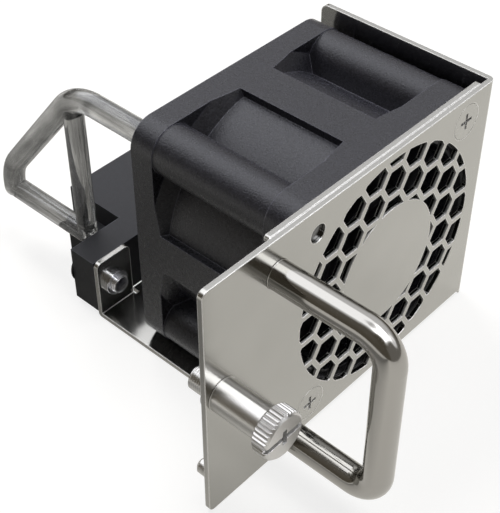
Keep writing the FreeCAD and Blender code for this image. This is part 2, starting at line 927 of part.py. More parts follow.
def impeller():
    """Blades on the hub that covers the motor."""
    body = fan_body("impeller")
    hub = sketch_on(body, "side")
    front, back = S.hub_front, S.hub_back
    outline(hub, [
        (front, 0), (front, S.hub_radius - 0.8), (front + 0.8, S.hub_radius - 0.8),
        (front + 0.8, S.hub_radius), (back, S.hub_radius), (back, 0),
    ])
    turn_sketch(hub)

    repeat_round_y(blade(body), S.blade_count)

    tips = sketch_on(body, "side")
    outline(tips, box_corners(
        S.blade_front - 2, S.blade_tip_radius, S.blade_back + 2, S.blade_tip_radius + 6))
    turn_sketch(tips, "Groove")

    turned(body, [
        (front + HUB_WALL, 0),
        (front + HUB_WALL, S.yoke_outer + 0.05),
        (back + 1, S.yoke_outer + 0.05),
        (back + 1, 0),
    ], "Groove")
    boss = sketch_on(body, "front", front + HUB_WALL - 0.2)
    add_circle(boss, 2.3)
    extrude("Pad", boss, 3)
    shaft_seat = sketch_on(body, "front", front + HUB_WALL - 0.4)
    add_circle(shaft_seat, S.spindle_radius)
    extrude("Pocket", shaft_seat, 4)
    return finish(body)


def blade(body):
    """One twisted blade, lofted through crescent sections from the hub to the tip."""
    roots = S.hub_radius - 0.9
    tips = S.blade_tip_radius + 1.2
    sections = []
    for share in (0, 0.5, 1):
        section = sketch_on(body, "side", roots + (tips - roots) * share)
        sweep = 3.6 + 4.2 * share
        crescent(section, (S.blade_front + 0.6 * share, -sweep), (S.blade_back, sweep * 0.8))
        sections.append(section)
    loft = body.newObject("PartDesign::AdditiveLoft", "impeller_blade")
    loft.Profile = sections[0]
    loft.Sections = sections[1:]
    return loft


def crescent(sketch, leading, trailing):
    """Blade section: two arcs of different camber that meet at both edges."""
    start = Vector(float(leading[0]), float(leading[1]), 0)
    end = Vector(float(trailing[0]), float(trailing[1]), 0)
    chord = end - start
    across = Vector(chord.y, -chord.x, 0).normalize()
    for rise in (S.blade_camber - S.blade_thickness, S.blade_camber):
        middle = (start + end) * 0.5 + across * float(rise)
        arc = sketch.addGeometry(Part.Arc(start, middle, end), False)
        swapped = sketch.getPoint(arc, 1).distanceToPoint(start) > 1e-6
        pin_point(sketch, arc, 2 if swapped else 1, *leading)
        pin_point(sketch, arc, 1 if swapped else 2, *trailing)
        radius = sketch.Geometry[arc].Radius
        sketch.addConstraint(Sketcher.Constraint("Radius", arc, radius))


def rotor_yoke():
    """Steel cup that closes the magnetic circuit inside the hub."""
    body = fan_body("rotor_yoke")
    front = S.hub_front + HUB_WALL + 0.03
    wall = 0.65
    back = S.hub_back - 0.6
    turned(body, [
        (front, 2.36), (front, S.yoke_outer), (back, S.yoke_outer),
        (back, S.yoke_outer - wall), (front + wall, S.yoke_outer - wall), (front + wall, 2.36),
    ])
    return finish(body)


def rotor_magnet():
    """Ring magnet inside the yoke."""
    body = fan_body("rotor_magnet")
    front, back = -3.5, 6.5
    turned(body, [
        (front, S.magnet_inner), (front, S.magnet_outer),
        (back, S.magnet_outer), (back, S.magnet_inner),
    ])
    return finish(body)


def rotor_shaft():
    """Steel shaft, grooved near its end for the clip."""
    body = fan_body("rotor_shaft")
    radius = S.spindle_radius
    start = S.hub_front + HUB_WALL - 0.38
    turned(body, [
        (start, 0), (start, radius), (CLIP_Y - 0.03, radius), (CLIP_Y - 0.03, radius - 0.25),
        (CLIP_Y + 0.33, radius - 0.25), (CLIP_Y + 0.33, radius), (CLIP_Y + 0.7, radius),
        (CLIP_Y + 0.7, 0),
    ])
    return finish(body)


def shaft_clip():
    """Split ring in the shaft's groove that stops the rotor from leaving its bearings."""
    body = fan_body("shaft_clip")
    ring = sketch_on(body, "front", CLIP_Y)
    add_circle(ring, 1.75)
    add_circle(ring, S.spindle_radius - 0.23)
    extrude("Pad", ring, 0.3)
    split = sketch_on(body, "front", CLIP_Y - 1)
    outline(split, box_corners(-0.35, -3, 0.35, 0))
    extrude("Pocket", split, 3)
    return finish(body)


def preload_spring():
    """Spring that presses the hub away from the front bearing."""
    front = S.hub_front.number + HUB_WALL + 2.82
    back = BEARING_FRONT_Y - 0.02
    start = Vector(0, front, S.fan_axis.number)
    return coil_spring("preload_spring", start, back - front, 3, 1.45, 0.3)


# ---------------------------------------------------------------- stator

def bearing_tube():
    """Brass tube in the base's boss that carries both bearings and the stator."""
    body = fan_body("bearing_tube")
    bore = S.bearing_radius + 0.03
    front = BEARING_FRONT_Y
    turned(body, [
        (front, bore), (front, S.sleeve_radius), (CLIP_Y + 0.6, S.sleeve_radius),
        (CLIP_Y + 0.6, bore), (BEARING_REAR_Y - 0.02, bore), (BEARING_REAR_Y - 0.02, bore - 0.5),
        (front + S.bearing_width + 0.02, bore - 0.5), (front + S.bearing_width + 0.02, bore),
    ])
    return finish(body)


def bearing(label, start):
    """Shielded ball bearing, closed from ring to ring."""
    body = fan_body(label)
    bore = S.spindle_radius + 0.03
    turned(body, [
        (start, bore), (start, S.bearing_radius), (start + S.bearing_width, S.bearing_radius),
        (start + S.bearing_width, bore),
    ])
    return finish(body)


def pole_star(body, start, length, arm_half_width, shoe_inner):
    """Ring, four arms and pole shoes of the stator."""
    hub = sketch_on(body, "front", start)
    add_circle(hub, STATOR_HUB)
    extrude("Pad", hub, length)
    arms = sketch_on(body, "front", start)
    outline(arms, cross_corners(shoe_inner + 0.3, arm_half_width))
    extrude("Pad", arms, length)
    shoe = sketch_on(body, "front", start)
    ring_sector(shoe, shoe_inner, S.stator_radius, 37)
    repeat_round_y(extrude("Pad", shoe, length), 4)
    bore = sketch_on(body, "front", start - 1)
    add_circle(bore, S.sleeve_radius + 0.03)
    extrude("Pocket", bore, length + 2)


def ring_sector(sketch, inner, outer, half_angle):
    """Sector of a ring, centred on +X."""
    low, high = math.radians(-half_angle), math.radians(half_angle)
    flat = Vector(0, 0, 1)
    for radius in (inner, outer):
        circle = Part.Circle(Vector(0, 0, 0), flat, float(radius))
        arc = sketch.addGeometry(Part.ArcOfCircle(circle, low, high), False)
        sketch.addConstraint(Sketcher.Constraint("Coincident", arc, 3, -1, 1))
        held = sketch.addConstraint(Sketcher.Constraint("Radius", arc, float(radius)))
        bind(sketch, f"Constraints[{held}]", radius)
    for angle, end in ((low, 1), (high, 2)):
        step = Vector(math.cos(angle), math.sin(angle), 0)
        side = sketch.addGeometry(
            Part.LineSegment(step * float(inner), step * float(outer)), False)
        sketch.addConstraint(Sketcher.Constraint("Coincident", side, 1, side - 2 - end + 1, end))
        sketch.addConstraint(Sketcher.Constraint("Coincident", side, 2, side - 1 - end + 1, end))


def stator_core():
    """Laminated four-pole core on the bearing tube."""
    body = fan_body("stator_core")
    pole_star(body, Dim(STATOR_Y), Dim(STATOR_LENGTH), Dim(1), S.stator_radius - 0.9)
    return finish(body)


def stator_insulators():
    """Moulded caps on both faces of the core that keep the windings off the steel."""
    body = fan_body("stator_insulators")
    for start in (STATOR_Y - 0.5, STATOR_Y + STATOR_LENGTH):
        pole_star(body, Dim(start), Dim(0.5), Dim(1.05), S.stator_radius - 0.9)
    return finish(body)


def stator_coils():
    """Windings round the four arms."""
    body = fan_body("stator_coils")
    turns = sketch_on(body, "side", STATOR_HUB + 0.1)
    low, high = STATOR_Y - 0.55, STATOR_Y + STATOR_LENGTH + 0.55
    outline(turns, box_corners(low - 0.9, -2.05, high + 0.9, 2.05))
    outline(turns, box_corners(low, -1.1, high, 1.1))
    repeat_round_y(extrude("Pad", turns, 0.95), 4)
    return finish(body)


def motor_board():
    """Round driver board on the motor base, with its driver chip and Hall sensor."""
    body = fan_body("motor_board")
    face = S.fan_depth / 2 - S.strut_depth - 1
    board = sketch_on(body, "front", face)
    add_circle(board, S.motor_base_radius - 0.8)
    add_circle(board, S.sleeve_radius + 1.1)
    extrude("Pad", board, 1)
    chips = sketch_on(body, "front", face - 0.9)
    outline(chips, box_corners(-2.2, 5, 2.2, 8))
    outline(chips, box_corners(5.4, -0.9, 7, 0.9))
    outline(chips, box_corners(-1, -7.6, 1, -6.4))
    extrude("Pad", chips, 1)
    return finish(body)


def bearing_cap():
    """Plug that closes the bearing boss at the fan's rear."""
    body = fan_body("bearing_cap")
    rear = S.fan_depth / 2
    turned(body, [
        (CLIP_Y + 0.9, 0), (CLIP_Y + 0.9, S.sleeve_radius - 0.02),
        (rear - 0.1, S.sleeve_radius - 0.02), (rear - 0.1, 0),
    ])
    return finish(body)


# ---------------------------------------------------------------- fan fasteners

def fan_screws():
    """Two countersunk screws through the plate into the fan's inserts, on one diagonal."""
    body = fan_body("fan_screws")
    half = S.fan_hole_spacing / 2
    face = S.plate_front
    tip = S.insert_start + S.insert_length + 0.6
    screw = turned(body, [
        (face + 0.02, 0), (face + 0.02, 2.75), (face + 1.3, 1.45),
        (tip - 0.3, 1.45), (tip, 1.05), (tip, 0),
    ], x=half, axis_z=half)
    recess = cross_recess(body, face - 0.2, half, 1.3, 0.25, 0.8, half)
    repeat_round_y(screw, 2, recess)
    return finish(body)


def fan_inserts():
    """Threaded brass inserts pressed into the fan's holes for its two screws."""
    body = fan_body("fan_inserts")
    half = S.fan_hole_spacing / 2
    start = S.insert_start
    outer = S.fan_hole_bore / 2 - 0.02
    insert = turned(body, [
        (start, 1.5), (start, outer),
        (start + S.insert_length, outer), (start + S.insert_length, 1.5),
    ], x=half, axis_z=half)
    repeat_round_y(insert, 2)
    return finish(body)


# ---------------------------------------------------------------- light pipe

def light_pipe():
    """Clear rod from the plate's window through the fan's corner hole to the rear frame."""
    x = -S.fan_hole_spacing / 2
    window_z = S.fan_axis + S.fan_hole_spacing / 2
    top = window_z - S.pipe_drop
    radius = S.pipe_diameter / 2
    start = S.plate_front + S.gauge + 0.1
    run = bent_rod("light_pipe_run", x, [
        (start, top), (S.pipe_corner, top), (S.pipe_back, S.pipe_knee), (S.pipe_back, S.pipe_low),
    ], S.pipe_bend, S.pipe_diameter)
    window = cylinder(
        "light_pipe_window", S.window_diameter / 2 - 0.08, S.gauge,
        (x, S.plate_front + 0.5, window_z), "y")
    rail = cylinder(
        "light_pipe_rail", radius - 0.1, S.pipe_back - S.pipe_post,
        (x, S.pipe_post, S.pipe_low), "y")
    post = cylinder(
        "light_pipe_post", S.pipe_post_diameter / 2, top - S.pipe_low - 1.5,
        (x, S.pipe_post, S.pipe_low))
    heel = ball("light_pipe_heel", radius, (x, S.pipe_back, S.pipe_low))
    toe = ball("light_pipe_toe", radius - 0.15, (x, S.pipe_post, S.pipe_low))
    return finish(fused("light_pipe", [run, heel, rail, toe, post, window]))


def ball(label, radius, place):
    """Sphere round a point."""
    sphere = DOC.addObject("Part::Sphere", label)
    bind(sphere, "Radius", radius)
    for axis, position in zip("xyz", place):
        bind(sphere, f"Placement.Base.{axis}", position)
    return sphere


# ---------------------------------------------------------------- blind-mate connector

def connector_housing():
    """Moulded body with a mounting ear on each side and open cells in its rear face."""
    body = body_at("connector_housing")
    bottom = S.gauge + 0.1
    ears = sketch_on(body, "front", S.connector_front)
    outline(ears, box_corners(
        -S.ear_half_width, bottom, S.ear_half_width, S.connector_top))
    extrude("Pad", ears, S.ear_depth)

    core = sketch_on(body, "front", S.connector_front)
    outline(core, box_corners(
        -S.connector_half_width, bottom, S.connector_half_width, S.connector_top))
    extrude("Pad", core, S.connector_back - S.connector_front)

    shelf = sketch_on(body, "front", S.connector_front)
    shelf_side = S.connector_half_width + S.shelf_width
    outline(shelf, box_corners(-shelf_side, bottom, shelf_side, S.shelf_height))
    extrude("Pad", shelf, S.connector_back - S.connector_front - 3)

    shanks = sketch_on(body, "front", S.connector_front - 1)
    for side in (-1, 1):
        add_circle(shanks, 1.6, S.connector_screw_x * side, S.connector_screw_z)
    extrude("Pocket", shanks, S.ear_depth + 2)

    first = -S.contact_pitch * 1.5
    cell = sketch_on(body, "front", S.connector_back - 10)
    outline(cell, box_corners(first - 1.5, bottom + 1.6, first + 1.5, S.connector_top - 1.6))
    repeat_along_x(extrude("Pocket", cell, 11), 4, S.contact_pitch)
    return finish(body)


def connector_contacts():
    """Forked power contacts, one in each cell."""
    body = body_at("connector_contacts")
    first = -S.contact_pitch * 1.5
    middle = (S.gauge + 0.1 + S.connector_top) / 2
    profile = sketch_on(body, "side", first - 0.9)
    root = S.connector_back - 10
    tip = S.connector_back - 1
    outline(profile, [
        (root, middle - 1.6), (root + 2, middle - 1.6), (tip, middle - 1.6),
        (tip, middle - 0.8), (root + 2, middle - 0.8), (root + 2, middle + 0.8),
        (tip, middle + 0.8), (tip, middle + 1.6), (root, middle + 1.6),
    ])
    repeat_along_x(extrude("Pad", profile, 1.8), 4, S.contact_pitch)
    return finish(body)


def connector_fastener(label, profile):
    """Pair of turned pieces on the connector's two screw axes."""
    body = body_at(label, z=S.connector_screw_z)
    piece = turned(body, profile, x=-S.connector_screw_x)
    return body, piece


def connector_screws():
    """Dome-head screws through the connector's ears into the tabs' nuts."""
    head = S.connector_front + S.ear_depth + 0.27
    tip = S.floor_end - S.gauge - 1.7
    body, screw = connector_fastener("connector_screws", [
        (tip, 0), (tip, 1.4), (head, 1.4), (head, 2.4), (head + 0.9, 2.2),
        (head + 1.6, 1.6), (head + 2, 0.8), (head + 2, 0),
    ])
    mirrored([screw])
    return finish(body)


def connector_washers():
    """Lock washers under the connector screws' heads."""
    face = S.connector_front + S.ear_depth
    body, washer = connector_fastener("connector_washers", [
        (face, 1.5), (face, 3.4), (face + 0.25, 3.4), (face + 0.25, 1.5),
    ])
    mirrored([washer])
    return finish(body)


def clinch_nuts():
    """Round nuts pressed into the tabs."""
    tab = S.floor_end - S.gauge
    body, nut = connector_fastener("clinch_nuts", [
        (tab - 0.8, 1.45), (tab - 0.8, 2.1), (tab, 2.1), (tab, 1.87),
        (tab + 0.75, 1.87), (tab + 0.75, 1.45),
    ])
    mirrored([nut])
    return finish(body)


# ---------------------------------------------------------------- assembly and export

def build_all():
    """Make every piece of the module."""
    tray()
    handle()
    handle_screws()
    thumbscrew_ferrule()
    thumbscrew_shaft()
    thumbscrew_knob()
    thumbscrew_washer()
    thumbscrew_spring()
    locating_pin()
    fan_gasket()
    fan_housing()
    impeller()
    rotor_yoke()
    rotor_magnet()
    rotor_shaft()
    shaft_clip()
    preload_spring()
    bearing_tube()
    bearing("bearing_front", Dim(BEARING_FRONT_Y))
    bearing("bearing_rear", Dim(BEARING_REAR_Y))
    stator_core()
    stator_insulators()
    stator_coils()
    motor_board()
    bearing_cap()
    fan_screws()
    fan_inserts()
    light_pipe()
    connector_housing()
    connector_contacts()
    connector_screws()
    connector_washers()
    clinch_nuts()


def export_all():
    """Check the document and write one STEP file for each piece."""
    DOC.recompute()
    failed = [
        item.Label for item in DOC.Objects if {"Invalid", "Error"} & set(item.State)
    ]
    if failed:
        raise RuntimeError(f"these objects failed to build: {failed}")
    for item in SHAPES:
        if item.Shape.isNull() or not item.Shape.isValid() or not item.Shape.Solids:
            raise RuntimeError(f"{item.Label} has no valid shape")
    os.makedirs("parts", exist_ok=True)
    for item in SHAPES:
        item.Shape.exportStep(f"parts/{item.Label}.step")
        box = item.Shape.BoundBox
        print(
            f"{item.Label:22s} solids {len(item.Shape.Solids):2d}"
            f"  volume {item.Shape.Volume:9.2f}"
            f"  x {box.XMin:7.2f} {box.XMax:7.2f}"
            f"  y {box.YMin:7.2f} {box.YMax:7.2f}"
            f"  z {box.ZMin:7.2f} {box.ZMax:7.2f}"
        )


build_all()
export_all()
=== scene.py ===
"""Looks of the hot-swap server fan module: materials, fine pieces, studio and camera.

Lengths are in metres and named angles in degrees. The row frame has X right along the
plate, Y back, Z up, and its origin on the tray's underside below the fan's centre.
"""

import json
import math

import bmesh
import bpy
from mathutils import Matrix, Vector

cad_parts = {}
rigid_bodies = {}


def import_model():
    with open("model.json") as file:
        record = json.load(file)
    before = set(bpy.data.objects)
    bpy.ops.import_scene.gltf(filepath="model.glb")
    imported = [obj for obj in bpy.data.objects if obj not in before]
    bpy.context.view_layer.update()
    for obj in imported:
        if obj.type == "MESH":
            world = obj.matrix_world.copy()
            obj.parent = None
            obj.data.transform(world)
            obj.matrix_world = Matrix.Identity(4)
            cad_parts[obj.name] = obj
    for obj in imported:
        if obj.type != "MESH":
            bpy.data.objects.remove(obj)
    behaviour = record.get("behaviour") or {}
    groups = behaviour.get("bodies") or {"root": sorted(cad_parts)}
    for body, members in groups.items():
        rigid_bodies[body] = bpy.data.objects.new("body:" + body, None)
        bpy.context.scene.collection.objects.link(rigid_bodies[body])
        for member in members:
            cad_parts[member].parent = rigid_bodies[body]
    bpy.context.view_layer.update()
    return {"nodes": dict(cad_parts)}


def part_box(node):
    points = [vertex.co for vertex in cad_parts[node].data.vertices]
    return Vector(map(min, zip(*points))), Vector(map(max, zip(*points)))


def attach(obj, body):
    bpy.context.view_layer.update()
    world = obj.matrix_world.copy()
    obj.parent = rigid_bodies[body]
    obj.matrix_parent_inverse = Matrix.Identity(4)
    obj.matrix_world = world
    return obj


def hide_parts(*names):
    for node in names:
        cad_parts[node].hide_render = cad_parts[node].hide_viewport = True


for leftover in list(bpy.data.objects):
    bpy.data.objects.remove(leftover)

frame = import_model()
NODES = frame["nodes"]
MM = 0.001

VENT_RADIUS = 18.4 * MM
HOUSING_EDGE_ANGLE = 18
LATHE_EDGE_ANGLE = 40
LATHE_STEPS = 48

# Thumbscrew, from the chamfer at its tip forwards to its thin neck
THREAD_LENGTH = 3.0 * MM
THREAD_LEAD = 0.7 * MM
THREAD_STARTS = 2
THREAD_CREST = 1.8 * MM
THREAD_DEPTH = 0.1 * MM
THREAD_CHAMFER = 0.25 * MM
RUNOUT_LENGTH = 0.8 * MM
RUNOUT_RADIUS = 1.6 * MM
NECK_RADIUS = 1.4 * MM

# Connector screws
SCREW_HEAD_RADIUS = 2.4 * MM
SCREW_LEAD = 0.45 * MM
SCREW_CREST = 1.52 * MM
SCREW_ROOT = 1.28 * MM
SCREW_POINT_LENGTH = 0.2 * MM
SCREW_POINT_RADIUS = 1.2 * MM

# Rolled rings round the feet of the handle and the ferrule
FERRULE_RADIUS = 2.45 * MM
SEAT_WIDTH = 0.16 * MM
SEAT_SINK = 0.04 * MM
SEAT_ROLL = 0.11 * MM

# Studio
FLOOR_REACH = 1.6
FLOOR_GAP = 0.05 * MM
FLOOR_DARK_LINE = 80 * MM
ROOM_PANEL = Vector((0.55, -0.67, 0.5))
ROOM_DARK_PATCH = Vector((-0.547, -0.5, 0.672))
LAMP_TARGET = Vector((0, 0, 0.02))
LENS = 84.08
CAMERA_PLACE = Vector((-104.52, -85.26, 134.86)) * MM
CAMERA_AZIMUTH = -47.566
CAMERA_ELEVATION = 42.226
CAMERA_ROLL = 0.062


def axis_of(node):
    """X and Z of the middle of a node that stands round an axis along Y."""
    low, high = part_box(node)
    return (low.x + high.x) / 2, (low.z + high.z) / 2


# ---------------------------------------------------------------- node trees

class Graph:
    """The node tree of a material or a world, with helpers that add nodes and join them."""

    def __init__(self, owner):
        owner.use_nodes = True
        self.tree = owner.node_tree

    def node(self, kind, *values, **settings):
        """A new node with these settings, and these values in its first inputs."""
        made = self.tree.nodes.new("ShaderNode" + kind)
        for key, value in settings.items():
            setattr(made, key, value)
        for socket, value in zip(made.inputs, values):
            self.feed(socket, value)
        return made

    def feed(self, socket, value):
        """Give a socket a plain value, or link another node's output to it."""
        if isinstance(value, bpy.types.NodeSocket):
            self.tree.links.new(value, socket)
        else:
            socket.default_value = value

    def apply(self, operation, *values):
        return self.node("Math", *values, operation=operation).outputs["Value"]

    def product(self, first, *others):
        for other in others:
            first = self.apply("MULTIPLY", first, other)
        return first

    def dot(self, first, second):
        return self.node("VectorMath", first, second, operation="DOT_PRODUCT").outputs["Value"]

    def ramp(self, value, ends, levels, **settings):
        """The first level up to the first end, the second past the other, graded between."""
        return self.node("MapRange", value, *ends, *levels, **settings).outputs["Result"]

    def mix(self, kind, factor, first, second):
        """First where the factor is 0 and second where it is 1; the kind is RGBA or FLOAT."""
        made = self.node("Mix", factor, data_type=kind)
        self.feed(made.inputs["A"], first)
        self.feed(made.inputs["B"], second)
        return made.outputs["Result"]

    def glow(self, kind, colour, strength):
        """A shader that shines; the kind is Emission, or Background in a world."""
        return self.node(kind, (*colour, 1), strength).outputs[0]

    def mix_shaders(self, factor, first, second):
        return self.node("MixShader", factor, first, second).outputs["Shader"]

    def add_shaders(self, first, second):
        return self.node("AddShader", first, second).outputs["Shader"]

    def any_ray(self, *kinds):
        """1 where the ray is of one of these kinds."""
        path = self.node("LightPath")
        total = path.outputs[kinds[0]]
        for kind in kinds[1:]:
            total = self.apply("MAXIMUM", total, path.outputs[kind])
        return total


# ---------------------------------------------------------------- materials

class Finish(Graph):
    """A Principled material with helpers for its procedural detail."""

    def __init__(self, name, colour, roughness, metallic=0.0, **sockets):
        self.material = bpy.data.materials.new(name)
        super().__init__(self.material)
        self.inputs = self.tree.nodes["Principled BSDF"].inputs
        self.inputs["Base Color"].default_value = (*colour, 1)
        self.inputs["Roughness"].default_value = roughness
        self.inputs["Metallic"].default_value = metallic
        for socket, value in sockets.items():
            self.inputs[socket.replace("_", " ")].default_value = value
        self.place = self.node("TexCoord").outputs["Object"]
        self.normal = None

    def stretched(self, factors):
        """Object coordinates scaled along each axis, for grain with a direction."""
        mapping = self.node("Mapping", self.place)
        mapping.inputs["Scale"].default_value = factors
        return mapping.outputs["Vector"]

    def noise(self, grain, detail, place=None):
        """Noise whose features are about grain metres across."""
        texture = self.node("TexNoise", place or self.place)
        texture.inputs["Scale"].default_value = 1 / grain
        texture.inputs["Detail"].default_value = detail
        return texture.outputs["Fac"]

    def cloud(self, grain, low, high, place=None):
        """Noise, most of which lies from 0.3 to 0.7, stretched to lie from low to high."""
        return self.ramp(self.noise(grain, detail=4, place=place), (0.3, 0.7), (low, high))

    def vary_roughness(self, grain, low, high, place=None):
        self.feed(self.inputs["Roughness"], self.cloud(grain, low, high, place))

    def vary_colour(self, grain, dark, light, place=None):
        factor = self.cloud(grain, 0, 1, place)
        self.feed(self.inputs["Base Color"], self.mix("RGBA", factor, (*dark, 1), (*light, 1)))

    def shade_by(self, normal):
        self.normal = normal
        self.feed(self.inputs["Normal"], normal)

    def round_edges(self, radius):
        """Sharp edges shade as if they had this radius."""
        self.shade_by(self.node("Bevel", radius, samples=6).outputs["Normal"])

    def grain(self, size, strength, depth, place=None):
        """Bump of noise of this size, depth metres from low to high."""
        bump = self.node("Bump", strength, depth)
        self.feed(bump.inputs["Height"], self.noise(size, detail=3, place=place))
        if self.normal:
            self.feed(bump.inputs["Normal"], self.normal)
        self.shade_by(bump.outputs["Normal"])

    def blend(self, mask, colour, roughness):
        """Where the mask is 1, give the surface this colour and roughness."""
        for kind, name, value in (("RGBA", "Base Color", (*colour, 1)),
                                  ("FLOAT", "Roughness", roughness)):
            socket = self.inputs[name]
            under = socket.links[0].from_socket if socket.links else socket.default_value
            self.feed(socket, self.mix(kind, mask, under, value))

    def dull(self, mask, colour, metallic):
        """Where the mask is 1, turn polished metal matt, with this colour."""
        self.blend(mask, colour, roughness=0.5)
        self.feed(self.inputs["Metallic"], self.ramp(mask, (0, 1), (1, metallic)))

    def paint_edge_highlights(self, colour, roughness):
        """Give the rounded edges a colour and roughness of their own: a painted highlight along
        the edges.
        """
        flat = self.node("NewGeometry").outputs["Normal"]
        edge = self.ramp(self.dot(self.normal, flat), (0.972, 0.9975), (1, 0))
        self.blend(edge, colour, roughness)

    def along_y(self, vector):
        return self.node("SeparateXYZ", vector).outputs["Y"]

    def before(self, start, end):
        """1 in front of start and 0 behind end, along Y."""
        return self.ramp(self.along_y(self.place), (start, end), (1, 0))

    def behind(self, start, end):
        """0 in front of start and 1 behind end, along Y."""
        return self.ramp(self.along_y(self.place), (start, end), (0, 1))

    def across_sheet(self):
        """1 on faces that don't face the front or back, such as a front plate's cut edges."""
        facing = self.along_y(self.node("NewGeometry").outputs["True Normal"])
        return self.ramp(self.apply("ABSOLUTE", facing), (0.3, 0.5), (1, 0))

    def near_axis(self, axis, radius):
        """1 within this radius of the line along Y through this X and Z."""
        x, z = axis
        across = self.node("VectorMath", self.place, (1, 0, 1), (-x, 0, -z),
                           operation="MULTIPLY_ADD").outputs["Vector"]
        distance = self.node("VectorMath", across, operation="LENGTH").outputs["Value"]
        return self.ramp(distance, (radius, 1.02 * radius), (1, 0))


def satin_sheet():
    """Nickel-plated sheet: blurred mirror, faintly cloudy, with painted highlights on its edges
    and matt cuts.
    """
    sheet = Finish("satin_nickel_sheet", (0.4, 0.395, 0.375), roughness=0.2, metallic=1.0)
    sheet.vary_colour(6 * MM, dark=(0.39, 0.385, 0.365), light=(0.41, 0.405, 0.385))
    sheet.vary_roughness(3 * MM, low=0.14, high=0.19)
    sheet.round_edges(0.22 * MM)
    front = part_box("tray")[0].y
    cuts = sheet.product(sheet.before(start=front + 0.28 * MM, end=front + 0.4 * MM),
                         sheet.near_axis(axis_of("fan_housing"), VENT_RADIUS),
                         sheet.across_sheet())
    sheet.dull(cuts, (0.58, 0.57, 0.55), metallic=0.4)
    # Painted highlight: the edges get a paler colour, standing in for light caught on rounded
    # edges.
    sheet.paint_edge_highlights((0.74, 0.73, 0.71), roughness=0.42)
    return sheet


def polished_bar(name, colour, roughness):
    """Polished rod or turned sleeve, with faint streaks of roughness along Y."""
    bar = Finish(name, colour, roughness[0], metallic=1.0)
    bar.vary_roughness(1.5 * MM, *roughness, place=bar.stretched((1, 0.15, 1)))
    bar.round_edges(0.12 * MM)
    bar.grain(0.8 * MM, strength=0.03, depth=0.01 * MM)
    return bar


def plated(name, colour, roughness, edge=0.08 * MM):
    """Small metal part with a fine, slightly uneven surface."""
    metal = Finish(name, colour, roughness[0], metallic=1.0)
    metal.vary_roughness(0.5 * MM, *roughness)
    metal.round_edges(edge)
    metal.grain(0.1 * MM, strength=0.08, depth=0.01 * MM)
    return metal


def recessed(name, colour, roughness, node, reach=None):
    """Plated metal that is matt and pale in its slots, within reach of its axis if given; the
    pale slots are painted light on their walls.
    """
    metal = plated(name, colour, roughness)
    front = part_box(node)[0].y
    slots = metal.behind(start=front + 0.03 * MM, end=front + 0.12 * MM)
    if reach:
        slots = metal.product(slots, metal.near_axis(axis_of(node), reach))
    # Painted light: the slot walls get a near-white matt colour so that they read as lit.
    metal.dull(slots, (0.8, 0.79, 0.78), metallic=0.1)
    return metal


def moulded(name, colour, roughness, grain, strength, depth, edge=0.18 * MM):
    """Moulded plastic or rubber with a spark-eroded grain, and smoother edges painted paler as a
    highlight.
    """
    shade, light, highlight_colour = ([factor * part for part in colour] for factor in (0.35, 1.65, 6))
    plastic = Finish(name, colour, roughness, Specular_IOR_Level=0.42)
    plastic.vary_colour(grain, shade, light)
    plastic.vary_roughness(0.9 * MM, roughness - 0.02, roughness + 0.03)
    plastic.round_edges(edge)
    # Painted highlight: ridges and rims get a colour six times the base, standing in for light
    # caught on them.
    plastic.paint_edge_highlights(highlight_colour, roughness - 0.06)
    plastic.grain(grain, strength, depth)
    return plastic


def clear_acrylic():
    """Clear grey-tinted rod with painted reflection streaks along its run, and painted shade near
    the plate.
    """
    clear = Finish("clear_acrylic", (0.4, 0.4, 0.39), roughness=0.03, IOR=1.49,
                   Transmission_Weight=0.88, Coat_Weight=0.6, Coat_Roughness=0.06)
    streaks = clear.stretched((1, 0.04, 0.04))
    # Painted reflection: streaks of dark and pale tone along the run stand in for the rod's
    # reflections.
    clear.vary_colour(0.3 * MM, (0.14, 0.14, 0.135), (0.85, 0.85, 0.84), place=streaks)
    clear.vary_roughness(0.6 * MM, low=0.0, high=0.08, place=streaks)
    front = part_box("light_pipe")[0].y
    # Painted shade: the rod turns near black towards the front, where it sits in the dark hole in
    # the plate.
    painted_shade_near_plate = clear.before(start=front + 2.2 * MM, end=front + 7.2 * MM)
    clear.blend(painted_shade_near_plate, (0.02, 0.02, 0.02), roughness=0.1)
    waves = clear.stretched((1, 0.15, 0.15))
    clear.grain(0.9 * MM, strength=0.4, depth=0.1 * MM, place=waves)
    return clear


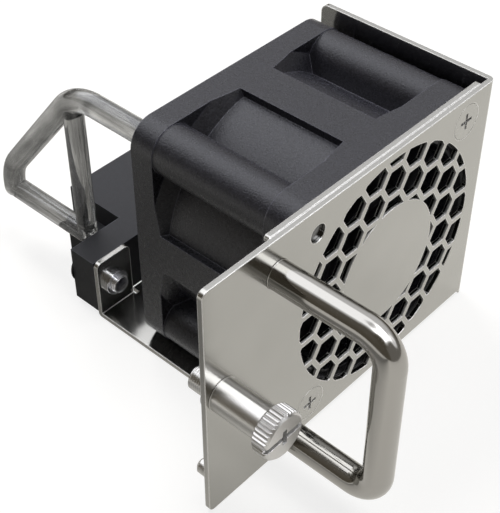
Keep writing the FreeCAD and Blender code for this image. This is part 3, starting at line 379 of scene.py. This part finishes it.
FINISHES = {
    "plate_steel": satin_sheet(),
    "handle_steel": polished_bar("polished_handle", (0.36, 0.35, 0.33), (0.09, 0.15)),
    "ferrule_steel": polished_bar("turned_ferrule", (0.58, 0.57, 0.55), (0.27, 0.36)),
    "knob_steel": recessed(
        "turned_knob", (0.58, 0.57, 0.56), (0.28, 0.36), "thumbscrew_knob", reach=2.9 * MM),
    "screw_steel": plated(
        "zinc_plated_screw", (0.74, 0.74, 0.76), (0.16, 0.26), edge=0.14 * MM),
    "plate_screw_steel": recessed(
        "nickel_plated_screw", (0.42, 0.415, 0.395), (0.2, 0.28), "fan_screws"),
    "thumbscrew_steel": plated("turned_steel", (0.58, 0.575, 0.56), (0.16, 0.26)),
    "spring_steel": plated("spring_wire", (0.5, 0.5, 0.5), (0.25, 0.35)),
    "yoke_steel": plated("drawn_steel", (0.48, 0.48, 0.49), (0.3, 0.42)),
    "bearing_steel": plated("ground_steel", (0.6, 0.6, 0.61), (0.12, 0.2)),
    "contact_brass": plated("contact_gold", (0.83, 0.62, 0.27), (0.2, 0.3)),
    "coil_copper": plated("enamelled_copper", (0.62, 0.25, 0.1), (0.25, 0.35)),
    "washer_dark": plated("black_oxide_steel", (0.07, 0.07, 0.07), (0.35, 0.5)),
    "fan_plastic": moulded(
        "fan_frame_plastic", (0.022, 0.0215, 0.0265), roughness=0.27,
        grain=0.19 * MM, strength=1.0, depth=0.06 * MM, edge=0.14 * MM),
    "impeller_plastic": moulded(
        "impeller_plastic", (0.02, 0.02, 0.022), roughness=0.3,
        grain=0.2 * MM, strength=0.25, depth=0.03 * MM, edge=0.1 * MM),
    "connector_plastic": moulded(
        "connector_plastic", (0.012, 0.012, 0.014), roughness=0.55,
        grain=0.12 * MM, strength=0.4, depth=0.03 * MM),
    "gasket_rubber": moulded(
        "gasket_rubber", (0.02, 0.02, 0.021), roughness=0.75,
        grain=0.3 * MM, strength=0.5, depth=0.06 * MM),
    "magnet_ferrite": moulded(
        "bonded_ferrite", (0.05, 0.045, 0.045), roughness=0.6,
        grain=0.2 * MM, strength=0.3, depth=0.03 * MM, edge=0.1 * MM),
    "insulator_plastic": moulded(
        "insulator_plastic", (0.7, 0.68, 0.6), roughness=0.45,
        grain=0.2 * MM, strength=0.2, depth=0.02 * MM, edge=0.1 * MM),
    "board_green": moulded(
        "solder_mask", (0.02, 0.15, 0.065), roughness=0.3,
        grain=0.3 * MM, strength=0.1, depth=0.02 * MM, edge=0.1 * MM),
    "clear_acrylic": clear_acrylic(),
}


def dress(node):
    """Give each of a CAD node's material slots its finish."""
    for place, plain in enumerate(node.data.materials):
        node.data.materials[place] = FINISHES[plain.name.split(".")[0]].material


def crisp(node, angle):
    """Shade edges sharper than this angle in degrees as edges, and flat faces flat."""
    split = node.modifiers.new("edges", "EDGE_SPLIT")
    split.split_angle = math.radians(angle)
    node.modifiers.new("faces", "WEIGHTED_NORMAL")


for cad_node in NODES.values():
    dress(cad_node)
crisp(NODES["fan_housing"], HOUSING_EDGE_ANGLE)


# ---------------------------------------------------------------- fine pieces

def lathe(name, slot, body, axis, rings, radius_at):
    """Closed mesh round an axis along Y; radius_at gives the radius at a place and angle."""
    x, z = axis
    mesh = bmesh.new()
    loops = []
    for y in rings:
        loop = []
        for step in range(LATHE_STEPS):
            angle = 2 * math.pi * step / LATHE_STEPS
            radius = radius_at(y, angle)
            loop.append(mesh.verts.new((x + radius * math.cos(angle), y,
                                        z + radius * math.sin(angle))))
        loops.append(loop)
    for near, far in zip(loops, loops[1:]):
        for step in range(LATHE_STEPS):
            after = (step + 1) % LATHE_STEPS
            mesh.faces.new((near[step], far[step], far[after], near[after]))
    mesh.faces.new(loops[0])
    mesh.faces.new(loops[-1][::-1])
    bmesh.ops.recalc_face_normals(mesh, faces=mesh.faces)
    data = bpy.data.meshes.new(name)
    mesh.to_mesh(data)
    mesh.free()
    data.shade_smooth()
    data.materials.append(FINISHES[slot].material)
    piece = bpy.data.objects.new(name, data)
    bpy.context.scene.collection.objects.link(piece)
    piece.modifiers.new("edges", "EDGE_SPLIT").split_angle = math.radians(LATHE_EDGE_ANGLE)
    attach(piece, body)
    return piece


def thread(y, angle, lead, starts, crest, root):
    """Radius of a right-hand V thread with flattened crests."""
    turn = starts * (y / lead + angle / (2 * math.pi)) % 1
    height = min(1, max(0, 1.5 - abs(4 * turn - 2)))
    return root + (crest - root) * height


def evenly(start, end, step):
    """Places from start to end, no more than a step apart."""
    count = max(2, math.ceil(abs(end - start) / step))
    return [start + (end - start) * i / count for i in range(count + 1)]


def thumbscrew_shaft():
    """Fine two-start thread with a chamfered end, in place of the plain shaft."""
    low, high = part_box("thumbscrew_shaft")
    tip = high.y
    start = tip - THREAD_LENGTH
    runout = start - RUNOUT_LENGTH

    def radius_at(y, angle):
        if y > start:
            crest = THREAD_CREST - max(0, y - tip + THREAD_CHAMFER)
            return thread(y, angle, THREAD_LEAD, THREAD_STARTS, crest, crest - THREAD_DEPTH)
        return RUNOUT_RADIUS if y > runout else NECK_RADIUS

    rings = [low.y, runout - 0.01 * MM, runout + 0.01 * MM]
    rings += evenly(start, tip, step=0.04 * MM)
    piece = lathe("thumbscrew_thread", "thumbscrew_steel", "thumbscrew",
                  axis_of("thumbscrew_shaft"), rings, radius_at)
    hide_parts("thumbscrew_shaft")


def connector_threads():
    """Ends of the connector screws, where two turns stand out of their nuts."""
    low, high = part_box("connector_screws")
    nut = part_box("clinch_nuts")[0]
    height = (low.z + high.z) / 2
    start = low.y + SCREW_POINT_LENGTH

    def radius_at(y, angle):
        if y < start:
            return SCREW_POINT_RADIUS
        return thread(y, angle, SCREW_LEAD, 1, SCREW_CREST, SCREW_ROOT)

    rings = [low.y - 0.02 * MM]
    rings += evenly(start, nut.y + 0.05 * MM, step=0.05 * MM)
    for side, x in (("left", low.x + SCREW_HEAD_RADIUS), ("right", high.x - SCREW_HEAD_RADIUS)):
        lathe("connector_thread_" + side, "screw_steel", "chassis", (x, height), rings, radius_at)


def seat_ring(name, slot, axis, plate, radius):
    """Bright rolled ring round a rod or sleeve of this radius that stands on the plate."""
    def radius_at(y, _):
        along = (plate - y) / SEAT_WIDTH
        return radius - SEAT_SINK + SEAT_ROLL * math.sqrt(max(0, 1 - (2 * along - 1) ** 2))

    rings = evenly(plate - SEAT_WIDTH, plate, step=0.02 * MM)
    lathe(name, slot, "chassis", axis, rings, radius_at)


def seat_rings():
    """Rolled rings where the handle's two ends and the ferrule stand on the plate."""
    low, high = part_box("handle")
    plate = high.y
    rod = (high.x - low.x) / 2
    middle = axis_of("handle")[0]
    seat_ring("handle_seat_upper", "handle_steel", (middle, high.z - rod), plate, rod)
    seat_ring("handle_seat_lower", "handle_steel", (middle, low.z + rod), plate, rod)
    ferrule = axis_of("thumbscrew_ferrule")
    seat_ring("ferrule_seat", "ferrule_steel", ferrule, plate, FERRULE_RADIUS)


thumbscrew_shaft()
connector_threads()
seat_rings()


# ---------------------------------------------------------------- studio

def softbox(name, place, size, power):
    """Rectangular lamp that is aimed at the module and unseen in mirrors and glass."""
    lamp = bpy.data.lights.new(name, "AREA")
    lamp.shape = "RECTANGLE"
    lamp.size, lamp.size_y = size
    lamp.energy = power
    lamp.color = (0.94, 0.96, 1)
    item = bpy.data.objects.new(name, lamp)
    item.visible_glossy = False
    item.visible_transmission = False
    item.location = place
    item.rotation_euler = (LAMP_TARGET - Vector(place)).to_track_quat("-Z", "Y").to_euler()
    bpy.context.scene.collection.objects.link(item)


def floor_material():
    """White to the camera and darker where a shadow falls, and not even in mirrors.

    Mirrors see it dark along a line that passes to the module's left and behind it, and
    brighter away from that line.
    """
    material = bpy.data.materials.new("studio_floor")
    floor = Graph(material)
    floor.tree.nodes.clear()
    matt = floor.node("BsdfDiffuse", (0.26, 0.25, 0.23, 1)).outputs["BSDF"]
    place = floor.node("TexCoord").outputs["Object"]
    across, back, _ = floor.node("SeparateXYZ", place).outputs
    slant = floor.apply("ADD", floor.apply("SUBTRACT", across, back), FLOOR_DARK_LINE)
    fade = floor.ramp(floor.apply("ABSOLUTE", slant), (20 * MM, 80 * MM), (0.06, 0.76))
    tone = floor.mix_shaders(floor.any_ray("Is Glossy Ray"),
                             floor.glow("Emission", (1, 1, 1), 0.8),
                             floor.glow("Emission", (1, 0.98, 0.93), fade))
    seen = floor.any_ray("Is Camera Ray", "Is Glossy Ray", "Is Transmission Ray")
    surface = floor.mix_shaders(seen, matt, floor.add_shaders(matt, tone))
    floor.node("OutputMaterial", surface)
    return material


def studio_floor():
    """Large square just below the tray."""
    mesh = bpy.data.meshes.new("studio_floor")
    corners = ((-1, -1), (1, -1), (1, 1), (-1, 1))
    points = [(FLOOR_REACH * x, FLOOR_REACH * y, 0) for x, y in corners]
    mesh.from_pydata(points, [], [(0, 1, 2, 3)])
    mesh.materials.append(floor_material())
    floor = bpy.data.objects.new("studio_floor", mesh)
    floor.location.z = -FLOOR_GAP
    bpy.context.scene.collection.objects.link(floor)


class Surroundings(Graph):
    """White to the camera, even light on matt surfaces, and a softly graded room in mirrors."""

    def __init__(self):
        self.world = bpy.data.worlds.new("studio")
        super().__init__(self.world)
        self.tree.nodes.clear()
        self.direction = self.node("TexCoord").outputs["Generated"]
        self.across, self.back, self.up = self.node("SeparateXYZ", self.direction).outputs

    def graded(self, value, ends, levels):
        return self.ramp(value, ends, levels, interpolation_type="SMOOTHERSTEP")

    def towards(self, target):
        """How nearly a direction points at the target, 1 where it does."""
        return self.dot(self.direction, target.normalized())

    def walls(self):
        """They brighten upwards, and fade out in front, where a faint haze is left."""
        rise = self.graded(self.up, (0.1, 0.62), (0, 1.08))
        sides = self.graded(self.back, (-0.75, -0.55), (0.12, 1))
        haze = self.graded(self.back, (-0.6, -0.1), (0.14, 0))
        return self.apply("MAXIMUM", self.product(rise, sides), haze)

    def strip(self):
        """Bright band overhead that runs front to back, brightest towards the front."""
        return self.product(self.graded(self.across, (-0.42, -0.36), (0, 1)),
                            self.graded(self.across, (0.4, 0.5), (1, 0)),
                            self.graded(self.up, (0.3, 0.5), (0, 1)),
                            self.graded(self.back, (-0.3, 0.1), (4.5, 1.3)),
                            self.graded(self.back, (-0.78, -0.62), (0, 1)))

    def room(self):
        """Brightness of the walls, the strip and a soft panel to the front right.

        All are dimmer straight overhead, and dark to the left and in a patch above the
        front left.
        """
        panel = self.graded(self.towards(ROOM_PANEL), (0.95, 0.99), (0, 1.2))
        light = self.apply("ADD", self.walls(), self.apply("ADD", self.strip(), panel))
        overhead = self.graded(self.up, (0.96, 0.995), (1, 0.4))
        patch = self.graded(self.towards(ROOM_DARK_PATCH), (0.89, 0.985), (1, 0))
        left = self.graded(self.across, (-0.62, -0.4), (0.04, 1))
        return self.product(light, overhead, patch, left)

    def build(self):
        fill = self.glow("Background", (0.93, 0.96, 1), 0.08)
        room = self.add_shaders(self.glow("Background", (0.93, 0.95, 1), self.room()),
                                self.glow("Background", (1, 0.88, 0.68), 0.14))
        white = self.glow("Background", (1, 1, 1), 1)
        unseen = self.mix_shaders(self.any_ray("Is Glossy Ray"), fill, room)
        seen = self.any_ray("Is Camera Ray", "Is Transmission Ray")
        self.node("OutputWorld", self.mix_shaders(seen, unseen, white))
        self.world.cycles.sampling_method = "NONE"
        bpy.context.scene.world = self.world


def camera():
    data = bpy.data.cameras.new("camera")
    data.lens = LENS
    data.clip_start = 0.01
    data.clip_end = 10
    item = bpy.data.objects.new("camera", data)
    item.location = CAMERA_PLACE
    item.rotation_euler = (math.pi / 2 - math.radians(CAMERA_ELEVATION),
                           math.radians(CAMERA_ROLL), math.radians(CAMERA_AZIMUTH))
    bpy.context.scene.collection.objects.link(item)
    bpy.context.scene.camera = item


studio_floor()
Surroundings().build()
softbox("key", place=(0.1, 0.45, 0.6), size=(0.4, 0.3), power=3.6)
softbox("overhead", place=(0.15, -0.1, 0.8), size=(0.4, 0.4), power=3.2)
softbox("side", place=(-0.6, 0.15, 0.45), size=(0.4, 0.4), power=0.3)
camera()
bpy.context.scene.view_settings.view_transform = "Standard"
